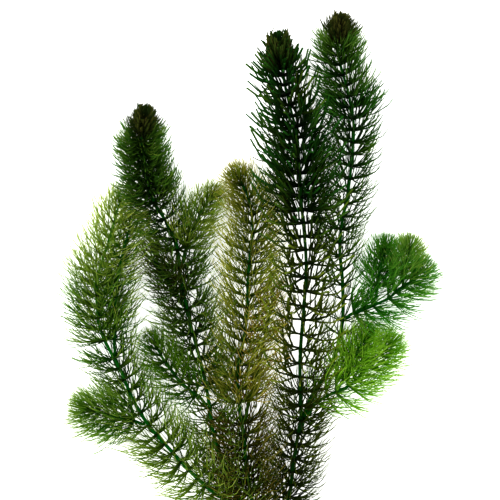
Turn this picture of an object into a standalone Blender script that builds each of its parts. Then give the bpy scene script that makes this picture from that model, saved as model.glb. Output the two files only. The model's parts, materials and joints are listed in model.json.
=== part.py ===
"""Hornwort: a cut, branching piece of a water plant that lies on a flat surface.

The frame: +Y runs along the plant from its cut end to its tips, +X is to its right as seen
from above, +Z is up and the surface is at z = 0. Sizes are in millimetres until a mesh is
made, and the meshes are in metres.
"""
import math

import bmesh
import bpy
import numpy as np

MM = 0.001

# Stems. A shoot is this thick at its foot and thins to the tip radius.
MAIN_STEM_RADIUS = 1.15
SIDE_SHOOT_RADIUS = 0.9
TIP_RADIUS = 0.65
NODE_SWELLING = 1.15
PIECE_GAP = 0.3

# Leaves. Each is a tapering spike that stands on one side of its whorl. The tables give a
# leaf's length along its curve, and the spike is the straight line from its foot to its end.
STRAIGHT_SHARE = 0.94
WHORL_BAND = 1.1
LEAF_BASE_RADIUS = 0.7
LEAF_CLEARANCE = 0.3
YOUNG_LEAF_BASE_RADIUS = 0.45
YOUNG_LEAF_CLEARANCE = 0.22
SHORTEST_LEAF = 3.0
SMALLEST_LEAN = 6
LENGTH_VARIATION = 0.07
ANGLE_VARIATION = 4.0
TURN_SHARE_PER_WHORL = 0.4

# Leaves that touch the surface end just above it. Those that the plant rests on lie flat on it.
# They are leaves that point down and forward, and the cosines say how closely.
PRESSED_TIP_HEIGHT = 0.1
RESTING_LEAF_WIDTH = 1.6
RESTING_LEAF_THICKNESS = 0.5
RESTING_KNEE = 0.42
RESTING_DOWN_COSINE = 0.8
RESTING_AHEAD_COSINE = 0.8

# A leaf whose way is blocked is turned and tilted by these degrees, then shortened.
TURNS_AND_TILTS = [(0, 0), (8, 0), (-8, 0), (0, -8), (0, 8), (15, 0), (-15, 0), (10, -12),
                   (-10, -12), (22, 0), (-22, 0), (0, -18), (18, -18), (-18, -18), (0, 14),
                   (28, -8), (-28, -8)]
SHORTENINGS = (1.0, 0.85, 0.7, 0.55, 0.4, 0.28)

# The growing tip that closes each shoot.
GROWING_TIP_LENGTH = 11.0
GROWING_TIP_RADIUS = 1.5
GROWING_TIP_TAPER = 0.6
BARE_END = 0.8

# Where one piece of a stem ends and the next begins, counted from the foot of the side shoot.
CUT_ABOVE_FORK = 2.2
CLEAR_OF_CUT = 1.6
WHORL_SEARCH_STEP = 0.2

# A side shoot's foot stands off its parent, and its first turn goes out and ahead by these.
FOOT_GAP = 0.35
FIRST_TURN_OUT = 1.2
FIRST_TURN_AHEAD = 0.6
AIM_DISTANCE = 6

# How finely a route is drawn, and the length of the rods that stand for it in the space test.
ROUTE_STEP = 0.5
ROD_LENGTH = 4

# The routes below are shifted by this, which centres the plant's box on the origin.
CENTERING = np.array([0.165, 0.365, 0.0])

# How whorl spacing, leaf length and lean change down a shoot: (distance from its tip, value).
# Spacing and length are in millimetres. Lean is from the stem to the leaf's tip, in degrees.
LONG_SPACING = [(0, 2.3), (10, 3.4), (20, 6), (80, 6.8), (130, 7.8), (200, 8), (270, 7)]
LONG_LENGTH = [(0, 10), (4, 12), (10, 16), (20, 21), (35, 24.5), (45, 27), (60, 30.5), (96, 31),
               (108, 26), (190, 26), (205, 29), (260, 29)]
STEPPED_LENGTH = [(0, 10), (4, 14), (10, 20), (20, 24), (35, 24.5), (43, 29), (70, 29), (110, 28),
                  (260, 28)]
STEPPED_LEAN = [(0, 9), (4, 28), (10, 50), (20, 57), (40, 62), (85, 60), (110, 50), (250, 52)]
LONG_LEAN = [(0, 9), (4, 28), (10, 50), (20, 56), (40, 60), (90, 64), (108, 74), (190, 74),
             (210, 64), (250, 64)]
CROWN_SPACING = [(0, 2.3), (8, 3.2), (40, 4.3), (55, 6), (150, 7.5), (250, 6.5)]
CROWN_LENGTH = [(0, 10), (4, 12), (10, 17), (19, 22), (38, 23), (48, 27), (80, 29.5), (140, 29.5),
                (250, 28)]
CROWN_LEAN = [(0, 9), (4, 26), (10, 46), (20, 54), (40, 57), (90, 62), (250, 64)]
BRUSH_SPACING = [(0, 3.3), (10, 4.5), (50, 6), (120, 7), (200, 6)]
BRUSH_LENGTH = [(0, 13), (5, 19), (14, 24), (30, 28), (60, 29), (110, 29), (135, 33), (250, 33)]
BRUSH_LEAN = [(0, 16), (5, 32), (15, 46), (30, 52), (55, 57), (250, 62)]
ARCHED_LEAN = [(0, 16), (5, 32), (15, 46), (30, 52), (55, 57), (120, 62), (150, 76), (250, 78)]

# Each shoot: the shoot that it grows from, the names of its pieces from the foot up, its route
# over the surface, how many leaves a whorl has, its growth tables, how its leaves are scaled,
# how much of its foot is bare, and the distances from its tip where it rests on flat leaves.
SHOOTS = {
    "dark_stem": dict(
        parent=None,
        pieces=["cut_base", "dark_stem_lower", "dark_stem_upper"],
        route=[(9, -149, 1.25), (9.5, -140.5, 2.6), (15, -131.5, 4.5), (21.5, -121, 7.5),
               (24, -102, 12), (26.5, -85.5, 17), (28, -76, 20), (27.5, -60, 23),
               (27.5, -41.5, 25), (29, -21, 26.5), (30.5, -1.5, 27), (30.5, 14, 27),
               (28.5, 37.5, 26), (27, 63.5, 23), (25.5, 80, 20.5), (20, 102.5, 16.5),
               (17, 119, 13.5), (16, 128, 12)],
        leaves=7, radius=MAIN_STEM_RADIUS, spacing=LONG_SPACING, length=LONG_LENGTH,
        lean=LONG_LEAN, leaf_scale=1.0, bare=14, rests=[30],
    ),
    "pale_stem": dict(
        parent="dark_stem",
        pieces=["left_limb", "pale_stem_lower", "pale_stem_upper"],
        route=[(8, -139, 2.6), (4, -131.5, 3.6), (1, -122, 5), (-2, -105.5, 8), (-3.5, -87, 10.5),
               (-7, -60, 11), (-5.5, -43, 11), (-2.5, -28.5, 11), (-1.5, -13.5, 11),
               (-0.5, 8, 11), (1.5, 26.5, 11), (-0.5, 43, 10.5), (-6, 55.5, 9.5)],
        leaves=5, radius=MAIN_STEM_RADIUS, spacing=BRUSH_SPACING, length=BRUSH_LENGTH,
        lean=BRUSH_LEAN, leaf_scale=1.0, bare=9, rests=[25, 80, 135],
    ),
    "left_stem": dict(
        parent="pale_stem",
        pieces=["outer_left_limb", "left_stem_lower", "left_stem_middle", "left_stem_high",
                "left_stem_upper"],
        route=[(4, -131.5, 3.6), (-1, -127, 4.6), (-6.5, -121, 6), (-12.5, -109, 9.5),
               (-17.5, -96, 13), (-20.5, -83.5, 15), (-22.5, -69, 16), (-26, -50.5, 16),
               (-31, -32, 15.5), (-34.5, -17.5, 15), (-38, -1.5, 15), (-40.5, 19.5, 15),
               (-46, 31, 15), (-52.5, 41.5, 15), (-57, 56, 15), (-59.5, 74, 15),
               (-58, 88.5, 14)],
        leaves=6, radius=MAIN_STEM_RADIUS, spacing=CROWN_SPACING, length=CROWN_LENGTH,
        lean=CROWN_LEAN, leaf_scale=1.0, bare=8, rests=[28, 95, 165],
    ),
    "outer_left_stem": dict(
        parent="left_stem",
        pieces=["outer_left_stem_lower", "outer_left_stem_middle", "outer_left_stem_upper"],
        route=[(-1.5, -127, 4.6), (-9, -124.5, 6.5), (-18.5, -119.5, 9), (-30, -109.5, 11.5),
               (-45.5, -93, 13), (-57, -79.5, 13), (-65, -66, 13), (-71.5, -50.5, 13),
               (-78, -38.5, 13), (-82.5, -28, 13), (-84.5, -14, 13), (-83.5, 3, 13),
               (-78, 20, 12.5), (-74.5, 33, 11.5), (-72, 43, 10.5)],
        leaves=6, radius=MAIN_STEM_RADIUS, spacing=BRUSH_SPACING, length=BRUSH_LENGTH,
        lean=ARCHED_LEAN, leaf_scale=0.97, bare=8, rests=[25, 75, 125],
    ),
    "outer_left_shoot": dict(
        parent="outer_left_stem",
        pieces=["outer_left_shoot"],
        route=[(-57, -79.5, 13), (-63, -79, 13), (-70, -77.5, 12.5), (-80, -75, 12),
               (-90, -72, 10.5)],
        leaves=5, radius=SIDE_SHOOT_RADIUS, spacing=BRUSH_SPACING, length=BRUSH_LENGTH,
        lean=BRUSH_LEAN, leaf_scale=1.15, bare=4, rests=[20],
    ),
    "outer_left_high_shoot": dict(
        parent="outer_left_stem",
        pieces=["outer_left_high_shoot"],
        route=[(-76, -42, 13), (-74.8, -36, 15), (-74, -28, 17.5), (-73.5, -12, 20.5),
               (-72.5, 0, 21.5), (-70, 13, 21), (-67, 25, 19.5), (-65.5, 32, 18)],
        leaves=5, radius=SIDE_SHOOT_RADIUS, spacing=BRUSH_SPACING, length=BRUSH_LENGTH,
        lean=BRUSH_LEAN, leaf_scale=0.85, bare=5, rests=[],
    ),
    "left_low_shoot": dict(
        parent="left_stem",
        pieces=["left_low_shoot"],
        route=[(-22.5, -69, 16), (-27, -66, 17), (-32.5, -62, 17.5), (-39, -56, 17),
               (-45, -48.5, 15.5), (-50, -41, 14), (-53, -35.5, 12.5)],
        leaves=5, radius=SIDE_SHOOT_RADIUS, spacing=BRUSH_SPACING, length=BRUSH_LENGTH,
        lean=BRUSH_LEAN, leaf_scale=0.9, bare=5, rests=[18],
    ),
    "left_middle_shoot": dict(
        parent="left_stem",
        pieces=["left_middle_shoot"],
        route=[(-35, -15, 15), (-38.5, -11.5, 17), (-43, -5, 19.5), (-48, 3, 21),
               (-52.5, 10, 21), (-55, 15, 20)],
        leaves=5, radius=SIDE_SHOOT_RADIUS, spacing=BRUSH_SPACING, length=BRUSH_LENGTH,
        lean=BRUSH_LEAN, leaf_scale=0.75, bare=4, rests=[],
    ),
    "left_high_shoot": dict(
        parent="left_stem",
        pieces=["left_high_shoot"],
        route=[(-39, 8, 15), (-36, 14, 14.5), (-33, 22, 13.5), (-29.5, 31, 12.5), (-25, 40, 11.5),
               (-21, 46, 10.5)],
        leaves=5, radius=SIDE_SHOOT_RADIUS, spacing=BRUSH_SPACING, length=BRUSH_LENGTH,
        lean=BRUSH_LEAN, leaf_scale=0.85, bare=5, rests=[18],
    ),
    "pale_side_shoot": dict(
        parent="pale_stem",
        pieces=["pale_side_shoot"],
        route=[(-4.5, -78, 10.5), (-1, -70, 11.5), (2.5, -58.5, 12), (6.5, -40, 12),
               (10, -23, 12), (13, -8, 11)],
        leaves=5, radius=SIDE_SHOOT_RADIUS, spacing=BRUSH_SPACING, length=BRUSH_LENGTH,
        lean=BRUSH_LEAN, leaf_scale=0.85, bare=6, rests=[25],
    ),
    "right_stem": dict(
        parent="dark_stem",
        pieces=["right_limb", "right_stem_lower", "right_stem_upper"],
        route=[(26.5, -83, 17.5), (29.5, -76, 17.5), (32, -69, 18), (36, -61.5, 18),
               (43.5, -50.5, 18), (48, -38, 17.5), (51, -22, 17), (51, -3, 16.5),
               (49.5, 15.5, 16), (50.5, 30, 16), (54, 48, 16), (56.5, 70.5, 16), (57, 86, 16),
               (54, 103, 15), (49, 122, 13), (50, 139.5, 10.5)],
        leaves=6, radius=MAIN_STEM_RADIUS, spacing=LONG_SPACING, length=STEPPED_LENGTH,
        lean=STEPPED_LEAN, leaf_scale=0.92, bare=5, rests=[40, 105],
    ),
    "low_right_shoot": dict(
        parent="right_stem",
        pieces=["low_right_shoot_lower", "low_right_shoot_upper"],
        route=[(30.5, -74, 17.5), (34.5, -70.5, 17.5), (40, -66, 17.5), (47, -62.5, 17),
               (53, -60, 16.5), (59, -55, 16), (66, -47.5, 15), (74, -40, 13.5), (77, -37, 12.5)],
        leaves=6, radius=SIDE_SHOOT_RADIUS, spacing=BRUSH_SPACING, length=BRUSH_LENGTH,
        lean=BRUSH_LEAN, leaf_scale=1.0, bare=4, rests=[22, 48],
    ),
    "low_right_twig": dict(
        parent="low_right_shoot",
        pieces=["low_right_twig"],
        route=[(49, -61.5, 17), (51, -56, 19), (54.5, -48, 20.5), (59, -39.5, 21), (64, -31.5, 20)],
        leaves=5, radius=SIDE_SHOOT_RADIUS, spacing=BRUSH_SPACING, length=BRUSH_LENGTH,
        lean=BRUSH_LEAN, leaf_scale=0.9, bare=5, rests=[],
    ),
    "right_side_shoot": dict(
        parent="right_stem",
        pieces=["right_side_shoot_lower", "right_side_shoot_middle", "right_side_shoot_upper"],
        route=[(51.5, -21.5, 17), (56, -19.5, 17), (62, -17.5, 16.5), (70, -14, 16),
               (77, -10.5, 15), (82, -6, 14.5), (90, -1, 13), (94, 3.5, 12)],
        leaves=5, radius=SIDE_SHOOT_RADIUS, spacing=BRUSH_SPACING, length=BRUSH_LENGTH,
        lean=BRUSH_LEAN, leaf_scale=1.05, bare=4, rests=[24],
    ),
    "right_inner_twig": dict(
        parent="right_side_shoot",
        pieces=["right_inner_twig"],
        route=[(69, -14.5, 16), (69.5, -9, 17.5), (70.5, 0, 19), (72.5, 9, 19), (74.5, 17, 18)],
        leaves=5, radius=SIDE_SHOOT_RADIUS, spacing=BRUSH_SPACING, length=BRUSH_LENGTH,
        lean=BRUSH_LEAN, leaf_scale=0.85, bare=5, rests=[],
    ),
    "right_outer_twig": dict(
        parent="right_side_shoot",
        pieces=["right_outer_twig"],
        route=[(81, -7, 14.5), (83, -2, 14), (86, 8, 13), (88, 17, 11)],
        leaves=5, radius=SIDE_SHOOT_RADIUS, spacing=BRUSH_SPACING, length=BRUSH_LENGTH,
        lean=BRUSH_LEAN, leaf_scale=0.85, bare=5, rests=[14],
    ),
}

COLORS = {
    "dark_stem": (0.012, 0.045, 0.006),
    "pale_stem": (0.19, 0.2, 0.03),
    "left_stem": (0.03, 0.11, 0.012),
    "outer_left_stem": (0.045, 0.15, 0.018),
    "outer_left_shoot": (0.07, 0.19, 0.02),
    "outer_left_high_shoot": (0.06, 0.15, 0.015),
    "left_low_shoot": (0.05, 0.16, 0.018),
    "left_middle_shoot": (0.035, 0.09, 0.01),
    "left_high_shoot": (0.09, 0.19, 0.03),
    "pale_side_shoot": (0.24, 0.21, 0.04),
    "right_stem": (0.025, 0.11, 0.012),
    "low_right_shoot": (0.06, 0.2, 0.02),
    "low_right_twig": (0.07, 0.22, 0.02),
    "right_side_shoot": (0.05, 0.17, 0.018),
    "right_inner_twig": (0.035, 0.14, 0.014),
    "right_outer_twig": (0.08, 0.19, 0.022),
}
YOUNG_TIP_COLOR = (0.055, 0.05, 0.018)
BROWN_TIPS = ("dark_stem", "left_stem", "right_stem")
LEAF_ROUGHNESS = 0.5

UP = np.array([0.0, 0.0, 1.0])


def unit(vector):
    return vector / np.linalg.norm(vector)


def smooth_curve(points):
    """A dense Catmull-Rom curve through hand-placed points."""
    points = np.array(points, float)
    ends = [2 * points[0] - points[1], *points, 2 * points[-1] - points[-2]]
    dense = []
    for a, b, c, d in zip(ends, ends[1:], ends[2:], ends[3:]):
        steps = max(2, int(np.linalg.norm(c - b) / ROUTE_STEP))
        for t in np.arange(steps) / steps:
            dense.append(0.5 * (2 * b + (c - a) * t + (2 * a - 5 * b + 4 * c - d) * t**2
                                + (3 * b - 3 * c + d - a) * t**3))
    return np.array(dense + [points[-1]])


class Route:
    """A stem's centre line, read by the distance from its foot."""

    def __init__(self, points):
        self.points = smooth_curve(points)
        steps = np.linalg.norm(np.diff(self.points, axis=0), axis=1)
        self.s = np.concatenate([[0.0], np.cumsum(steps)])
        self.length = self.s[-1]

    def at(self, s):
        return np.array([np.interp(s, self.s, self.points[:, k]) for k in range(3)])

    def frame(self, s):
        """The stem's direction, its side and its upper side at a distance from the foot."""
        ahead = unit(self.at(min(s + 1, self.length)) - self.at(max(s - 1, 0)))
        side = unit(np.cross(ahead, UP))
        return ahead, side, np.cross(side, ahead)

    def nearest(self, point):
        return self.s[np.argmin(np.linalg.norm(self.points - point, axis=1))]


def segment_clearance(p, q, r0, r1, others):
    """The smallest gap between one tapering rod and many others."""
    a, b, ra, rb = others[:, 0:3], others[:, 3:6], others[:, 6], others[:, 7]
    d1, d2, w = q - p, b - a, p - a
    A = d1 @ d1
    B = d2 @ d1
    C = np.maximum(np.einsum("ij,ij->i", d2, d2), 1e-9)
    D = w @ d1
    E = np.einsum("ij,ij->i", d2, w)
    denominator = np.maximum(A * C - B * B, 1e-9)
    t = np.clip((B * E - C * D) / denominator, 0, 1)
    u = np.clip((B * t + E) / C, 0, 1)
    t = np.clip((B * u - D) / A, 0, 1)
    apart = p + t[:, None] * d1 - (a + u[:, None] * d2)
    radii = r0 + (r1 - r0) * t + ra + (rb - ra) * u
    return (np.linalg.norm(apart, axis=1) - radii).min(initial=np.inf)


class Space:
    """What is already grown, so that no new leaf passes through it."""

    def __init__(self):
        self.rods = []
        self.owners = []
        self.table = None

    def add(self, p, q, r0, r1, owner):
        self.rods.append([*p, *q, r0, r1])
        self.owners.append(owner)
        self.table = None

    def near(self, center, distance, skip):
        if self.table is None:
            self.table = np.array(self.rods)
            self.middles = (self.table[:, 0:3] + self.table[:, 3:6]) / 2
            self.halves = np.linalg.norm(self.table[:, 3:6] - self.table[:, 0:3], axis=1) / 2
        close = np.linalg.norm(self.middles - center, axis=1) < distance + self.halves
        kept = [i for i in np.flatnonzero(close) if self.owners[i] not in skip]
        return self.table[kept]


def leaf_direction(route, s, azimuth, lean):
    """A leaf's direction, and straight outward on the side of the stem where it stands."""
    ahead, side, top = route.frame(s)
    outward = math.cos(azimuth) * top + math.sin(azimuth) * side
    return math.cos(lean) * ahead + math.sin(lean) * outward, outward


def laid_above_floor(base, direction, length, floor):
    """The leaf's end, with a leaf that would pass the surface laid out along it."""
    end = base + direction * length
    if end[2] >= floor:
        return end
    drop = base[2] - floor
    flat = unit(direction * [1, 1, 0])
    run = math.sqrt(max(length**2 - drop**2, 1.0))
    return base + flat * run - UP * drop


def place_leaf(space, shoot, s, radius, azimuth, owner, length, lean, variation):
    """Where a leaf's tip goes: near its natural place, turned or shortened to stay clear."""
    route = shoot["curve"]
    lean += variation[1] * ANGLE_VARIATION
    length *= 1 + variation[0] * LENGTH_VARIATION
    center = route.at(s)
    foot = leaf_direction(route, s, azimuth, 0)[1] * radius + center
    is_young = route.length - s < GROWING_TIP_LENGTH
    thickness = YOUNG_LEAF_BASE_RADIUS if is_young else LEAF_BASE_RADIUS
    needed = YOUNG_LEAF_CLEARANCE if is_young else LEAF_CLEARANCE
    near = space.near(center, length + 2, skip={owner, shoot["name"]})
    for share in SHORTENINGS:
        if length * share < SHORTEST_LEAF:
            break
        for turn, tilt in TURNS_AND_TILTS:
            turned = azimuth + math.radians(turn)
            tilted = math.radians(max(lean + tilt, SMALLEST_LEAN))
            direction = leaf_direction(route, s, turned, tilted)[0]
            end = laid_above_floor(foot, direction, length * share, PRESSED_TIP_HEIGHT)
            if segment_clearance(foot, end, thickness, 0.0, near) > needed:
                return foot, end
    return foot, None


def stem_radius(shoot, s):
    share = s / shoot["curve"].length
    return shoot["radius"] + (TIP_RADIUS - shoot["radius"]) * share


def ring_points(center, axis_u, axis_v, radius, count, turn):
    angles = turn + 2 * math.pi * (np.arange(count) + 0.5) / count
    return center + radius * (np.outer(np.cos(angles), axis_u) + np.outer(np.sin(angles), axis_v))


def lay_out_shoots():
    """Find each shoot's foot on its parent, its cuts and its whorls."""
    for name, shoot in SHOOTS.items():
        shoot["name"] = name
        shoot["route"] = [np.array(point) + CENTERING for point in shoot["route"]]
        shoot["curve"] = Route(shoot["route"])
        shoot["forks"] = []
    for shoot in SHOOTS.values():
        parent = SHOOTS.get(shoot["parent"])
        if parent is None:
            shoot["foot_normal"] = shoot["curve"].frame(0)[0]
            continue
        at = parent["curve"].nearest(shoot["route"][0])
        ahead = parent["curve"].frame(at)[0]
        away = shoot["curve"].at(AIM_DISTANCE) - parent["curve"].at(at)
        away = unit(away - ahead * (away @ ahead))
        parent["forks"].append(at)
        start = parent["curve"].at(at) + away * (stem_radius(parent, at) + FOOT_GAP)
        turn = start + away * FIRST_TURN_OUT + ahead * FIRST_TURN_AHEAD
        shoot["foot_normal"] = away
        shoot["curve"] = Route([start, turn, *shoot["route"][1:]])
    for shoot in SHOOTS.values():
        length = shoot["curve"].length
        tip_start = length - GROWING_TIP_LENGTH
        shoot["forks"].sort()
        cuts = [at + CUT_ABOVE_FORK for at in shoot["forks"]] + [tip_start]
        shoot["cuts"] = cuts
        shoot["whorls"] = []
        s = length - BARE_END
        while s > shoot["bare"]:
            keep_off = [*cuts, *shoot["forks"]]
            if all(abs(s - c) > CLEAR_OF_CUT for c in keep_off):
                shoot["whorls"].append(s)
                s -= table_value(shoot["spacing"], length - s)
            else:
                s -= WHORL_SEARCH_STEP
        shoot["whorls"].reverse()


def table_value(table, x):
    return float(np.interp(x, [row[0] for row in table], [row[1] for row in table]))


def fill_space_with_stems(space):
    """Every stem is in the space before the first leaf grows."""
    for name, shoot in SHOOTS.items():
        route = shoot["curve"]
        stations = np.append(np.arange(0, route.length, ROD_LENGTH), route.length)
        for a, b in zip(stations, stations[1:]):
            space.add(route.at(a), route.at(b), stem_radius(shoot, a) * NODE_SWELLING,
                      stem_radius(shoot, b) * NODE_SWELLING, name)


def extrude_by(bm, face, moved):
    """Extrude one face alone and move each corner as the given rule says."""
    made = bmesh.ops.extrude_discrete_faces(bm, faces=[face])["faces"][0]
    for vert in made.verts:
        vert.co = moved(np.array(vert.co) / MM) * MM
    return made


def extrude_to_point(bm, face, point):
    made = bmesh.ops.extrude_discrete_faces(bm, faces=[face])["faces"][0]
    bmesh.ops.pointmerge(bm, verts=list(made.verts), merge_co=point * MM)


class Skin:
    """A stem's skin, grown ring by ring from a capped foot."""

    def __init__(self, points):
        self.bm = bmesh.new()
        verts = [self.bm.verts.new(p * MM) for p in points]
        self.bm.faces.new(list(reversed(verts)))
        self.ring = verts

    def next_ring(self, points):
        verts = [self.bm.verts.new(p * MM) for p in points]
        count = len(verts)
        sides = []
        for i in range(count):
            j = (i + 1) % count
            sides.append(self.bm.faces.new((self.ring[i], self.ring[j], verts[j], verts[i])))
        self.ring = verts
        return sides

    def cap(self):
        self.bm.faces.new(self.ring)

    def close_at(self, point):
        cap = self.bm.faces.new(self.ring)
        bmesh.ops.pointmerge(self.bm, verts=list(cap.verts), merge_co=point * MM)


def is_pressed(end):
    return math.isclose(end[2], PRESSED_TIP_HEIGHT)


def resting_knee(foot, end):
    """The place on the surface where a resting leaf turns flat."""
    return (foot + (end - foot) * RESTING_KNEE) * [1, 1, 0]


def add_resting_leaf(bm, face, foot, end, ahead, side):
    """A leaf that bends down to the surface and lies flat on it from its knee to its end."""
    heading = unit((end - foot) * [1, 1, 0])
    across = np.cross(heading, UP)
    knee = resting_knee(foot, end)
    middle = np.array(face.calc_center_median()) / MM

    def onto_surface(corner):
        sideways = math.copysign(RESTING_LEAF_WIDTH / 2, (corner - middle) @ side)
        is_under = (corner - middle) @ ahead < 0
        height = 0.0 if is_under else RESTING_LEAF_THICKNESS
        return knee + across * sideways + UP * height

    outer = extrude_by(bm, face, onto_surface)
    extrude_to_point(bm, outer, end * [1, 1, 0])


def grow_piece(space, shoot, name, start, end, is_foot, is_tip, random):
    """One piece of a stem with its whorls of leaves, between two distances from the foot."""
    route = shoot["curve"]
    count = shoot["leaves"]
    ahead, side, top = route.frame(start)
    radius = stem_radius(shoot, start)
    turn = shoot["turn"]
    if is_foot:
        ahead = shoot["foot_normal"]
        side = unit(np.cross(ahead, UP))
        top = np.cross(side, ahead)
    skin = Skin(ring_points(route.at(start), top, side, radius, count, turn))
    leaf_faces = []
    for s in [w for w in shoot["whorls"] if start < w < end]:
        radius = stem_radius(shoot, s) * NODE_SWELLING
        if is_tip:
            taper = GROWING_TIP_TAPER * ((s - start) / (end - start))**2
            radius = GROWING_TIP_RADIUS * (1 - taper)
        turn += TURN_SHARE_PER_WHORL * 2 * math.pi / count
        ahead, side, top = route.frame(s)
        for offset in (-WHORL_BAND / 2, WHORL_BAND / 2):
            center = route.at(s) + ahead * offset
            sides = skin.next_ring(ring_points(center, top, side, radius, count, turn))
        leaf_faces.append((s, radius, turn, sides))
    shoot["turn"] = turn
    ahead, side, top = route.frame(end)
    if is_tip:
        skin.close_at(route.at(end))
    else:
        radius = stem_radius(shoot, end)
        skin.next_ring(ring_points(route.at(end), top, side, radius, count, turn))
        skin.cap()
    for s, radius, turn, sides in leaf_faces:
        grow_whorl(space, shoot, skin.bm, s, radius, turn, sides, random)
    is_brown = is_tip and shoot["name"] in BROWN_TIPS
    return make_object(name, skin.bm, YOUNG_TIP_COLOR if is_brown else COLORS[shoot["name"]])


def grow_whorl(space, shoot, bm, s, radius, turn, sides, random):
    """One leaf on each side of the whorl's band, where there is room for it."""
    from_tip = shoot["curve"].length - s
    leaf_length = table_value(shoot["length"], from_tip) * shoot["leaf_scale"] * STRAIGHT_SHARE
    lean = table_value(shoot["lean"], from_tip)
    owner = (shoot["name"], s)
    ahead, side, _ = shoot["curve"].frame(s)
    rests = any(abs(from_tip - r) < 0.5 * table_value(shoot["spacing"], r)
                for r in shoot["rests"])
    for i, face in enumerate(sides):
        azimuth = turn + 2 * math.pi * (i + 1) / len(sides)
        variation = random.uniform(-1, 1, 2)
        foot, end = place_leaf(space, shoot, s, radius, azimuth, owner, leaf_length, lean,
                               variation)
        if end is None:
            continue
        points_down = math.cos(azimuth) < -RESTING_DOWN_COSINE
        points_ahead = unit((end - foot) * [1, 1, 0]) @ ahead > RESTING_AHEAD_COSINE
        if rests and points_down and points_ahead and is_pressed(end):
            knee = resting_knee(foot, end)
            near = space.near(knee, np.linalg.norm(end - foot), skip={owner, shoot["name"]})
            half = RESTING_LEAF_WIDTH / 2
            if min(segment_clearance(foot, knee, half, half, near),
                   segment_clearance(knee, end, half, 0.0, near)) > LEAF_CLEARANCE:
                space.add(foot, knee, half, half, owner)
                space.add(knee, end, half, 0.0, owner)
                add_resting_leaf(bm, face, foot, end, ahead, side)
                continue
        space.add(foot, end, LEAF_BASE_RADIUS, 0.0, owner)
        extrude_to_point(bm, face, end)


def make_object(name, bm, color):
    bmesh.ops.triangulate(bm, faces=bm.faces[:])
    mesh = bpy.data.meshes.new(name)
    bm.to_mesh(mesh)
    bm.free()
    obj = bpy.data.objects.new(name, mesh)
    bpy.context.scene.collection.objects.link(obj)
    material = bpy.data.materials.new(name)
    material.use_nodes = True
    shader = material.node_tree.nodes["Principled BSDF"]
    shader.inputs["Base Color"].default_value = (*color, 1)
    shader.inputs["Roughness"].default_value = LEAF_ROUGHNESS
    shader.inputs["Metallic"].default_value = 0.0
    mesh.materials.append(material)
    return obj


def main():
    for obj in list(bpy.data.objects):
        bpy.data.objects.remove(obj, do_unlink=True)
    random = np.random.default_rng(7)
    lay_out_shoots()
    space = Space()
    fill_space_with_stems(space)
    for shoot in SHOOTS.values():
        shoot["turn"] = 0.0
        starts = [0.0] + [cut + PIECE_GAP for cut in shoot["cuts"]]
        ends = shoot["cuts"] + [shoot["curve"].length]
        names = shoot["pieces"] + [shoot["name"] + "_tip"]
        for i, name in enumerate(names):
            grow_piece(space, shoot, name, starts[i], ends[i], i == 0, i == len(names) - 1,
                       random)


main()
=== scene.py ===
"""Hornwort, a cut piece of a branching water plant that lies on a pale floor, seen from above.

Lengths are in millimetres until a mesh is made, and angles in degrees until they are used.
"""
import json
import math

import bmesh
import bpy
import numpy as np
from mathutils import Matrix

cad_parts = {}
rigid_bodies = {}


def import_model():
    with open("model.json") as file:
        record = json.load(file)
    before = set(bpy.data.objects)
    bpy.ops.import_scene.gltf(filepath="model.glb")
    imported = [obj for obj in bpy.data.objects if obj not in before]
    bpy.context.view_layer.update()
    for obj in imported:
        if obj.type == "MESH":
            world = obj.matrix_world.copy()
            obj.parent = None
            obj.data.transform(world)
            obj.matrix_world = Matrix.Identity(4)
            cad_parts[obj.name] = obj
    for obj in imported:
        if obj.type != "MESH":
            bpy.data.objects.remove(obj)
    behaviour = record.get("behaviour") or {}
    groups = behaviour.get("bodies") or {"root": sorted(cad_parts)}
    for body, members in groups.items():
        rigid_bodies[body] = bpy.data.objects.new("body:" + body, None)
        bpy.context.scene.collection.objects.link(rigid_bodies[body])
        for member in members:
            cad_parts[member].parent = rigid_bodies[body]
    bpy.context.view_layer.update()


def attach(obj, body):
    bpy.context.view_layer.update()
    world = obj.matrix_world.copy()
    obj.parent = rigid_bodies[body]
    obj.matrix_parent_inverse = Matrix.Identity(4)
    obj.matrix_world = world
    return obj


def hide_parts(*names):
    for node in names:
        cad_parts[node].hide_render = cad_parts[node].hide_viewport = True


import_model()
bpy.ops.object.select_all(action="DESELECT")

MM = 0.001
UP = np.array([0.0, 0.0, 1.0])

# The stems: how thick they are, and how much thicker where a whorl of leaves grows.
MAIN_STEM_RADIUS = 1.15
SIDE_SHOOT_RADIUS = 0.9
TIP_RADIUS = 0.65
TIP_TAPER = 0.85
NODE_SWELLING = 1.3
SWELLING_REACH = 0.9
SWELLING_SHOULDER = 0.6

# Where one solid ends and the next begins, with a gap between them. The visual stems reach
# past their ends by a little more than the gap, so that none shows.
PIECE_GAP = 0.3
PIECE_OVERLAP = 0.35
GROWING_TIP_LENGTH = 11.0
CUT_ABOVE_FORK = 2.2

# Whorls keep clear of the cuts, of the forks and of the very tip.
CLEAR_OF_CUT = 1.6
BARE_END = 0.8
WHORL_SEARCH_STEP = 0.2

# How a shoot leaves the stem that it grows from.
FOOT_GAP = 0.35
FIRST_TURN_OUT = 1.2
FIRST_TURN_AHEAD = 0.6
AIM_DISTANCE = 6
ROUTE_STEP = 0.5

# Added to every route, so that the plant's box is centred on the origin.
CENTERING = np.array([0.165, 0.365, 0.0])

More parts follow.
